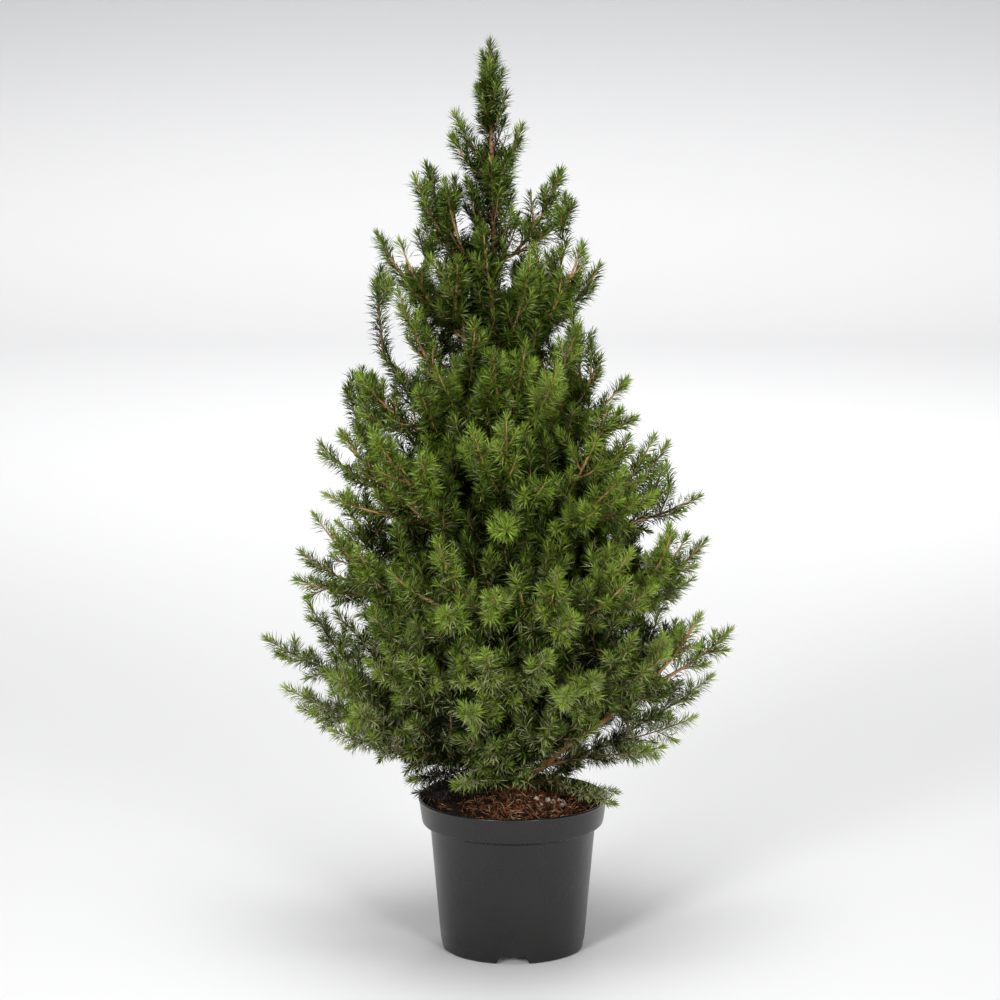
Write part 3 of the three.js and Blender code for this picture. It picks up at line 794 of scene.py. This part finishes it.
def skin_of_masses():
    """One search tree of the faces of all the masses."""
    corners, faces = [], []
    for mass in masses:
        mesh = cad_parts[mass].data
        first = len(corners)
        corners += [vert.co.copy() for vert in mesh.vertices]
        faces += [[first + index for index in face.vertices] for face in mesh.polygons]
    return BVHTree.FromPolygons(corners, faces)


SKIN = skin_of_masses()


def within(place):
    """Whether a place is inside a mass: a straight line out of it then leaves more skins than it enters."""
    way = Vector((0.13, 0.07, 1)).normalized()
    spot, _, _, _ = SKIN.ray_cast(place, way)
    crossings = 0
    while spot is not None:
        crossings += 1
        spot, _, _, _ = SKIN.ray_cast(spot + way * 1e-6, way)
    return crossings % 2 == 1


def room_at(place):
    """How far a place is inside the foliage, in metres: less than zero outside it."""
    spot = Vector(place)
    gap = SKIN.find_nearest(spot)[3]
    return gap if within(spot) else -gap


def sheltered(place):
    """Whether foliage hides a place on every side, so that a shoot there doesn't change the outline."""
    away = Vector(outward_from_trunk(place))
    ways = (away, (away + 1.2 * Vector(UP)).normalized())
    outwards = all(SKIN.ray_cast(Vector(place), way, 0.2)[0] for way in ways)
    across = any(SKIN.ray_cast(Vector(place), Vector(way), 0.3)[0] for way in ((0, -1, 0), (0, 1, 0)))
    along = any(SKIN.ray_cast(Vector(place), Vector(way), 0.3)[0] for way in ((-1, 0, 0), (1, 0, 0)))
    return outwards and across and along


def core_radius(height):
    """How far from the trunk the crown is filled on every side."""
    heights = (0.186, 0.205, 0.24, 0.36, 0.46, 0.60, 0.70, 0.78)
    return np.interp(height, heights, (0, 0.075, 0.13, 0.14, 0.12, 0.07, 0.03, 0))


def fits(place, slack=0.004):
    """Whether a shoot may end at a place."""
    if hides_clear_wood(place[None], 0.004)[0] or against_the_sky(place[None])[0]:
        return False
    core = np.linalg.norm((place - trunk_place(place[2]))[:2]) < core_radius(place[2])
    away = np.linalg.norm((place - POCKETS[:, :3]) * (1, 0.5, 0.65), axis=1)
    return core or (away < POCKETS[:, 3]).any() or room_at(place) > -slack or sheltered(place)


def cover_at(place):
    """How deep in the crown a place is, in metres, on the average of nine ways out of it."""
    away = Vector(outward_from_trunk(place))
    side = away.cross(Vector(UP))
    depths = []
    for turn in (-1, 0, 1):
        for climb in (0, 0.7, 2):
            way = (away + turn * side + climb * Vector(UP)).normalized()
            hit = SKIN.ray_cast(Vector(place) + 0.35 * way, -way, 0.35)[3]
            depths.append(0.35 - hit if hit is not None else 0.0)
    return sum(min(depth, 0.08) for depth in depths) / len(depths)


def grow_side_shoots(limb, step=SIDE_SHOOT_STEP, longest=0.034):
    """Short shoots that leave a limb in a spiral, longer further back, where there is room for them."""
    path = limb["path"]
    from_tip = length_to_tip(path)
    ways, across, upright = frames_along(path)
    turn = dice.uniform(0, math.tau)
    stand = FIRST_SIDE_SHOOT + dice.uniform(-0.006, 0.008)
    while stand < min(from_tip[0] - limb["bare"] - 0.006, 0.19):
        row = np.argmin(abs(from_tip - stand))
        angle = SIDE_SHOOT_SPREAD * dice.uniform(0.8, 1.15)
        outward = across[row] * math.cos(turn) + upright[row] * math.sin(turn)
        way = unit(ways[row] * math.cos(angle) + outward * math.sin(angle))
        way = unit(way + 0.5 * uprightness(path[row][2]) * UP)
        length = min(0.012 + 0.32 * stand, longest) * dice.uniform(0.75, 1.15)
        while length > 0.011 and not fits(path[row] + length * way):
            length *= 0.8
        if length > 0.011:
            crown.grow(climbing(path[row], path[row] + length * way, 0.5), limb["order"] + 1, limb["mass"])
        turn += SPIRAL
        stand += step * dice.uniform(0.8, 1.25)


def grow_leader_shoots():
    """Short shoots that climb along the top of the trunk: a dense tip, bare wood, and whorls below."""
    turn = 0.4
    low_whorl = np.arange(0.668, 0.786, 0.0042)
    dense_tip = np.arange(0.812, TRUNK_TOP - 0.016, 0.0052)
    for height in (*low_whorl, *dense_tip):
        turn += SPIRAL
        length = np.interp(height, (0.67, 0.74, 0.80, 0.86, 0.89), (0.046, 0.038, 0.028, 0.020, 0.012))
        length *= dice.uniform(0.8, 1.15)
        outward = np.array((math.cos(turn), math.sin(turn), 0))
        start = trunk_place(height)
        lean = math.radians(dice.uniform(26, 44))
        end = start + length * (outward * math.sin(lean) + UP * math.cos(lean))
        if not hides_clear_wood(end[None], 0.001)[0]:
            crown.grow(climbing(start, end, 0.34), 2, "foliage_leader")


# Three low shoots hang over the soil in front of the trunk, kept out of the crown's painted shade.
LOW_SHOOTS = (
    ((-0.012, -0.030, 0.186), (-0.056, -0.082, 0.186)),
    ((-0.008, -0.032, 0.190), (-0.031, -0.074, 0.202)),
    ((-0.010, -0.034, 0.198), (0.021, -0.084, 0.184)),
)
for start, end in LOW_SHOOTS:
    crown.grow(climbing(start, end, 0.7), 1, "foliage_skirt_front")
    crown.limbs[-1]["in_the_open"] = True

for limb in list(crown.limbs):
    if limb["mass"] != RIM_SHOOT:
        grow_side_shoots(limb)
for end in shoot_ends("foliage_leader"):
    reach = np.linalg.norm((end - trunk_place(end[2]))[:2])
    if reach > 0.012:
        crown.grow(climbing(trunk_place(end[2] - 0.045), end, 0.3), 1, "foliage_leader")
        grow_side_shoots(crown.limbs[-1], step=0.007, longest=0.014)
leader_path = np.vstack((trunk_path[trunk_path[:, 2] > 0.60], trunk_path[-1] + 0.004 * UP))
leader = {"path": leader_path, "order": 0, "mass": "foliage_leader", "bare": 0.0}
grow_leader_shoots()
crown.offer(trunk_path[trunk_path[:, 2] > 0.26], "foliage_leader")


def crown_spots(spacing):
    """Places spread evenly through the foliage, in a mixed order."""
    low, high = np.array(cad_low) + (0, 0, 0.155), np.array(cad_high)
    grid = np.stack(np.meshgrid(*[np.arange(low[axis], high[axis], spacing) for axis in range(3)]), axis=-1)
    spots = grid.reshape(-1, 3) + dice.uniform(-0.4, 0.4, (grid.size // 3, 3)) * spacing
    dice.shuffle(spots)
    return spots


COLUMN_GAP = 0.042
tops = [limb["path"][-1] for limb in crown.limbs if limb["order"] < 2]
for spot in crown_spots(0.02):
    if not fits(spot, 0.0) or cover_at(spot) > 0.03:
        continue
    if np.linalg.norm(np.array(tops) - spot, axis=1).min() < COLUMN_GAP:
        continue
    near = np.flatnonzero(crown.distance(spot) < 0.15)
    if crown.branch(spot, 2, "foliage_leader", near, longest=0.2, reach_wanted=0.09):
        tops.append(spot)
        grow_side_shoots(crown.limbs[-1])

FILL_SPACING = 0.012
FILL_GAP = 0.0108
for spot in crown_spots(FILL_SPACING):
    if not fits(spot, 0.0):
        continue
    distance = crown.distance(spot)
    clump = np.interp(spot[2], (0.55, 0.65), (1, 0.72)) * (1 + 0.9 * noise.noise(Vector(spot) * 24))
    if distance.min() > clump * np.interp(cover_at(spot), (0.016, 0.034), (0.018, FILL_GAP)):
        crown.branch(spot, 3, "foliage_leader", np.flatnonzero(distance < 0.11), longest=0.14)


def twig_radii(path):
    """Wood gets thicker evenly from the tip of a limb to its foot."""
    return TIP_RADIUS + WOOD_AT_50_MM * (length_to_tip(path) / 0.05) ** 0.7


def twig(path, radii, sides):
    """Corners and triangles of a tapering stem along a path, drawn to a point at both ends."""
    ways, across, upright = frames_along(path)
    turns = np.arange(sides) * math.tau / sides
    round_about = (across[:, None] * np.cos(turns)[None, :, None]
                   + upright[:, None] * np.sin(turns)[None, :, None])
    rings = path[:, None] + round_about * radii[:, None, None]
    foot = path[0] - ways[0] * radii[0]
    tip = path[-1] + ways[-1] * radii[-1] * 2
    corners = np.vstack((rings.reshape(-1, 3), foot, tip))
    triangles = []
    last = (len(path) - 1) * sides
    for side in range(sides):
        after = (side + 1) % sides
        low = np.arange(len(path) - 1) * sides
        triangles.append(np.stack((low + side, low + after, low + sides + after), axis=1))
        triangles.append(np.stack((low + side, low + sides + after, low + sides + side), axis=1))
        triangles.append(np.array([[len(corners) - 2, after, side]]))
        triangles.append(np.array([[len(corners) - 1, last + side, last + after]]))
    return corners, np.vstack(triangles)


BOUGH_SIDES = 12
STEM_SIDES = {"main": 4, "side": 3}
# The side tone, on inner and low stems, is darker partly as painted shade inside and under the crown.
STEM_TONES = {"main": (0.50, 0.28, 0.11), "side": (0.26, 0.155, 0.06)}
bough_shape = bmesh.new()
stems = {"main": [], "side": []}
for limb in crown.limbs:
    path, radii = limb["path"], twig_radii(limb["path"])
    low = hangs_low(limb["mass"])
    if low:
        radii = radii * (0.45 if limb["mass"] == RIM_SHOOT else 0.65)
    elif limb["mass"] == BARE_BOUGH and limb["order"] == 0:
        radii = radii * 1.3
    from_tip = length_to_tip(path)
    thick = int((radii > THICK_WOOD).sum())
    if thick > 3 and limb["order"] == 0:
        barked_limb(bough_shape, path[:thick], radii[:thick], BOUGH_SIDES)
        path, radii, from_tip = path[thick - 2:], radii[thick - 2:], from_tip[thick - 2:]
    if len(path) > 1:
        kind = "main" if limb["order"] < 2 and not low else "side"
        stems[kind].append(twig(path, radii, STEM_SIDES[kind]))
bmesh.ops.recalc_face_normals(bough_shape, faces=bough_shape.faces)
boughs = [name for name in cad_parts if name.startswith("bough_")]
BOUGH_BARK = bark("bough_bark", (0.43, 0.22, 0.085), (0.16, 0.07, 0.027))
piece_of("bough_bark", mesh_of("bough bark", bough_shape, math.radians(60)), BOUGH_BARK, boughs)
for kind, tone in STEM_TONES.items():
    material = plain_material(kind + "_stems", tone, 0.7)
    piece_of(kind + "_stems", joined("stems", *zip(*stems[kind])), material)

# ---- Needles ----
# Short stiff needles stand all round each shoot on a spiral, close together, and lean forward,
# most of all at the tip. Each has its own outline, and its colour goes by its place in its spray,
# and by painted shade: darker the deeper its spray sits in the crown.
NEEDLE_WIDTH = 0.0011
NEEDLES_PER_METRE = 3900
# Dark and deep also serve as painted shade for sprays deep in the crown.
NEEDLE_COLOURS = {
    "lime": (0.31, 0.43, 0.06),
    "fresh": (0.19, 0.285, 0.028),
    "bright": (0.11, 0.175, 0.016),
    "mid": (0.055, 0.093, 0.007),
    "deep": (0.023, 0.042, 0.003),
    "dark": (0.006, 0.010, 0.001),
    # Silver is partly the pale stomatal bands of the needles and partly painted highlight.
    "silver": (0.38, 0.39, 0.20),
    "olive": (0.10, 0.09, 0.022),
    "dry": (0.20, 0.11, 0.04),
    "dead": (0.016, 0.012, 0.008),
}
MOST_TRIANGLES = 190000            # in one joined piece


def needle_stations(length, bare, height):
    """Where needles stand, as lengths from the tip: close at first and thinner on old wood."""
    reach = np.arange(0, length - bare, 1 / NEEDLES_PER_METRE)
    age = reach / np.interp(height, (0.18, 0.26, 0.34, 0.45, 0.60), (4, 3, 1.8, 1.2, 1.7))
    keep = np.interp(age, (0, 0.025, 0.045, 0.08, 0.14, 0.20), (1, 0.92, 0.66, 0.42, 0.18, 0.0))
    return reach[dice.random(len(reach)) < keep]


def needles_of(limb, path):
    """Foot, tip and side direction of each needle of a limb, and its distance from the limb's tip."""
    from_tip = length_to_tip(path)
    reach = needle_stations(from_tip[0], limb["bare"], path[-1][2])
    if len(reach) < 2:
        return None
    order = np.argsort(from_tip)

    def at_stations(values):
        columns = [np.interp(reach, from_tip[order], values[order, axis]) for axis in range(3)]
        return np.stack(columns, axis=1)

    place = at_stations(path)
    way, side, over = (unit(at_stations(values)) for values in frames_along(path))
    count = len(reach)
    turn = dice.uniform(0, math.tau) + SPIRAL * np.arange(count) + dice.normal(0, 0.25, count)
    outward = side * np.cos(turn)[:, None] + over * np.sin(turn)[:, None]
    lean = np.interp(reach, (0, 0.003, 0.008, 0.016, 0.035), np.radians((15, 33, 50, 62, 70)))
    lean = lean + dice.normal(0, 0.26, count)
    size = np.interp(reach, (0, 0.004, 0.014, 0.07, 0.15), (0.7, 0.86, 1, 0.95, 0.8))
    size = NEEDLE_LENGTH * size * dice.uniform(0.66, 1.14, count)
    size = size * np.interp(path[-1][2], (0.55, 0.7), (1, 1.07))
    if limb["mass"] == RIM_SHOOT:
        size = size * 0.7
    point = unit(way * np.cos(lean)[:, None] + outward * np.sin(lean)[:, None] + 0.09 * UP)
    radii = np.interp(reach, from_tip[order], twig_radii(path)[order])
    foot = place + outward * (radii * 0.7)[:, None]
    tip = foot + point * size[:, None]
    across = np.cross(way, outward)
    hidden = against_the_sky(tip, 0.3)
    if limb["mass"] != RIM_SHOOT:
        hidden |= hides_clear_wood(foot) | hides_clear_wood(tip)
    seen = ~hidden
    return tuple(column[seen] for column in (foot, tip, across, reach, outward))


TONES = np.array(("dark", "deep", "mid", "bright", "fresh", "lime"))    # from the shade to the light


def colour_of_spray(shade, reach, outward, height):
    """The colour of each needle: light at the tip of its spray, deep at its foot, and darker with painted
    shade the deeper its spray sits in the crown.
    """
    count = len(reach)
    vigour_and_light = 1 - shade + dice.uniform(-0.25, 0.25) - np.interp(height, (0.5, 0.62, 0.82), (0, 0.14, 0.36))
    age = reach + dice.normal(0, 0.004, count)
    low_down = np.interp(height, (0.22, 0.46), (1, 0))
    # Low in the crown the levels spread wider and drop, as painted shade in the hollows there.
    level = (3.1 + 0.5 * low_down) * vigour_and_light - 0.4 * low_down
    level += np.interp(age, (0, 0.006, 0.016, 0.03, 0.06), (2.2, 1.7, 0.8, 0.1, -1.0))
    # This spread is partly each needle's own tone and partly painted highlights and shade between needles.
    level += dice.normal(0, 1.05, count)
    names = TONES[np.clip(level, 0, 5.9).astype(int)].astype("<U8")
    # Silver goes mostly low in the crown and to needles that face down: partly stomatal bands and partly
    # painted highlight.
    grey = 0.05 + 0.32 * low_down + 0.2 * low_down * (outward[:, 2] < -0.2)
    names[(dice.random(count) < grey) & (age > 0.006) & (level > 1.3)] = "silver"
    names[(age > 0.07) & (dice.random(count) < 0.3)] = "olive"
    names[(age > 0.09) & (dice.random(count) < 0.15)] = "dry"
    return names


def needle_blades(foot, tip, across):
    """Corners and triangles of needles: slim blades folded along the middle, with a keel on top."""
    length = tip - foot
    middle = foot + 0.45 * length
    under = unit(np.cross(length, across))
    half = NEEDLE_WIDTH / 2
    left = middle + (across + under) * half
    right = middle - (across - under) * half
    corners = np.stack((foot, left, right, tip), axis=1)
    pattern = np.array(((0, 1, 3), (0, 3, 2)))
    starts = (np.arange(len(foot)) * 4)[:, None, None]
    return corners.reshape(-1, 3), (pattern[None] + starts).reshape(-1, 3)


# A spray hangs over the rim of the pot on the left, its needles coloured near black as painted shade.
SHADE_SPRAY_ENDS = np.array((
    (-0.098, -0.012, 0.174), (-0.093, -0.034, 0.166), (-0.084, 0.004, 0.186), (-0.086, -0.028, 0.180),
))
for end in SHADE_SPRAY_ENDS:
    crown.grow(climbing(trunk_place(0.172), end, 0.9), 2, "foliage_leader")
    crown.limbs[-1]["dead"] = True

# Painted shade: sprays ranked deeper in the crown, and the inner fill shoots, get darker needle colours on
# top of the shade the lamps cast.
covers = np.array([cover_at(limb["path"][-1]) for limb in crown.limbs])
shades = covers.argsort().argsort() / len(covers)
sprays = []
for limb, shade in zip(crown.limbs, shades):
    path = limb["path"]
    parts = needles_of(limb, path)
    if parts is None:
        continue
    foot, tip, across, reach, outward = parts
    shade += 0.2 * (limb["order"] == 3) + 0.5 * noise.noise(Vector(path[-1]) * 13)
    # These sprays are kept out of the painted shade and take the light tones of open outer sprays.
    if "in_the_open" in limb or limb["mass"] == RIM_SHOOT:
        shade = 0.1
    names = colour_of_spray(min(1, shade), reach, outward, path[-1][2])
    # Painted shade: this spray's needles are near black.
    if "dead" in limb:
        names[:] = "dead"
    sprays.append((foot, tip, across, names))

foot, tip, across, reach, outward = needles_of(leader, leader["path"])
sprays.append((foot, tip, across, colour_of_spray(0.1, reach, outward, 1)))

everything = [np.concatenate([spray[column] for spray in sprays]) for column in range(4)]
for colour, tone in NEEDLE_COLOURS.items():
    chosen = everything[3] == colour
    if not chosen.any():
        continue
    gloss = 0.1 if colour in ("dark", "deep") else 0.3
    material = plain_material("needles_" + colour, tone, 0.36, gloss)
    batches = math.ceil(chosen.sum() * 2 / MOST_TRIANGLES)
    for batch, rows in enumerate(np.array_split(np.flatnonzero(chosen), batches)):
        blades = needle_blades(*(column[rows] for column in everything[:3]))
        mesh = joined("needles", [blades[0]], [blades[1]], smooth=False)
        stands_for = masses if colour == "mid" and batch == 0 else ()
        piece_of(f"needles_{colour}_{batch + 1}", mesh, material, stands_for)

# ---- Studio ----
# A pale sweep of paper that leaves room to walk round the plant, and soft boxes in front, overhead
# and behind. None of it belongs to the plant.
SWEEP_REACH = 9                    # of the floor to the front and the sides
SWEEP_CURVE = 0.7                  # radius of the curve between floor and wall
WALL_FOOT = 4.4                    # where the floor starts to curve up
WALL_TOP = 5
FILL_LIGHT = 0.085                 # even light from all round
SEEN_LIGHT = 0.62                  # how bright the room looks past the paper


def studio_sweep():
    """A floor that curves up into a wall behind the plant."""
    sweep = bmesh.new()
    turns = np.linspace(0, math.pi / 2, 12)
    curve = [(WALL_FOOT + SWEEP_CURVE * math.sin(turn), SWEEP_CURVE - SWEEP_CURVE * math.cos(turn))
             for turn in turns]
    line = [(-SWEEP_REACH, 0), *curve, (WALL_FOOT + SWEEP_CURVE, WALL_TOP)]
    left = [sweep.verts.new((-SWEEP_REACH, y, z)) for y, z in line]
    edges = [sweep.edges.new(pair) for pair in zip(left, left[1:])]
    grown = bmesh.ops.extrude_edge_only(sweep, edges=edges)["geom"]
    right = [item for item in grown if isinstance(item, bmesh.types.BMVert)]
    bmesh.ops.translate(sweep, vec=(2 * SWEEP_REACH, 0, 0), verts=right)
    bmesh.ops.recalc_face_normals(sweep, faces=sweep.faces)
    return mesh_of("sweep", sweep)


def soft_box(name, place, size, power, aim=(0, 0, 0.45)):
    """A rectangular lamp of a size in metres and a power in watts, aimed at a point."""
    light = bpy.data.lights.new(name, "AREA")
    light.shape = "RECTANGLE"
    light.size, light.size_y = size
    light.energy = power
    lamp = bpy.data.objects.new(name, light)
    lamp.location = place
    lamp.rotation_euler = (Vector(aim) - Vector(place)).to_track_quat("-Z", "Y").to_euler()
    bpy.context.scene.collection.objects.link(lamp)


def studio_paper():
    """White paper on the floor, with painted shade that turns it grey up the wall."""
    material, shader = new_material("studio_paper", roughness=0.9, specular=0.1)
    nodes, link = material.node_tree.nodes, material.node_tree.links.new
    place = nodes.new("ShaderNodeTexCoord")
    axes = nodes.new("ShaderNodeSeparateXYZ")
    # Painted shade: the paper's colour darkens with height, standing for light falling off up the wall.
    painted_falloff = nodes.new("ShaderNodeMapRange")
    painted_falloff.interpolation_type = "SMOOTHSTEP"
    painted_falloff.inputs["From Min"].default_value = 0.10
    painted_falloff.inputs["From Max"].default_value = 0.95
    tone = nodes.new("ShaderNodeMix")
    tone.data_type = "RGBA"
    tone.inputs["A"].default_value = (0.86, 0.86, 0.865, 1)
    tone.inputs["B"].default_value = (0.50, 0.504, 0.515, 1)
    link(place.outputs["Object"], axes.inputs["Vector"])
    link(axes.outputs["Z"], painted_falloff.inputs["Value"])
    link(painted_falloff.outputs["Result"], tone.inputs["Factor"])
    link(tone.outputs["Result"], shader.inputs["Base Color"])
    return material


def studio_world():
    """An even light all round, which looks pale where the room is seen past the paper."""
    world = bpy.data.worlds.new("studio")
    world.use_nodes = True
    nodes, link = world.node_tree.nodes, world.node_tree.links.new
    background = nodes["Background"]
    background.inputs["Color"].default_value = (1, 1, 1, 1)
    seen = nodes.new("ShaderNodeLightPath")
    strength = nodes.new("ShaderNodeMapRange")
    strength.inputs["To Min"].default_value = FILL_LIGHT
    strength.inputs["To Max"].default_value = SEEN_LIGHT
    link(seen.outputs["Is Camera Ray"], strength.inputs["Value"])
    link(strength.outputs["Result"], background.inputs["Strength"])
    return world


sweep_mesh = studio_sweep()
sweep_mesh.materials.append(studio_paper())
sweep = bpy.data.objects.new("sweep", sweep_mesh)
bpy.context.scene.collection.objects.link(sweep)

soft_box("overhead", (0, -0.4, 2.5), (1.8, 1.4), 43)
soft_box("front_left", (-1.6, -3.0, 1.35), (0.7, 0.9), 69)
soft_box("front_right", (1.5, -3.1, 1.05), (0.7, 1.0), 45)
soft_box("backdrop", (0, 2.8, 3.4), (5.0, 2.4), 132, (0, 5.1, 0.8))
soft_box("behind", (0.6, 3.2, 2.2), (1.6, 0.8), 16)

bpy.context.scene.world = studio_world()
bpy.context.scene.view_settings.view_transform = "Standard"
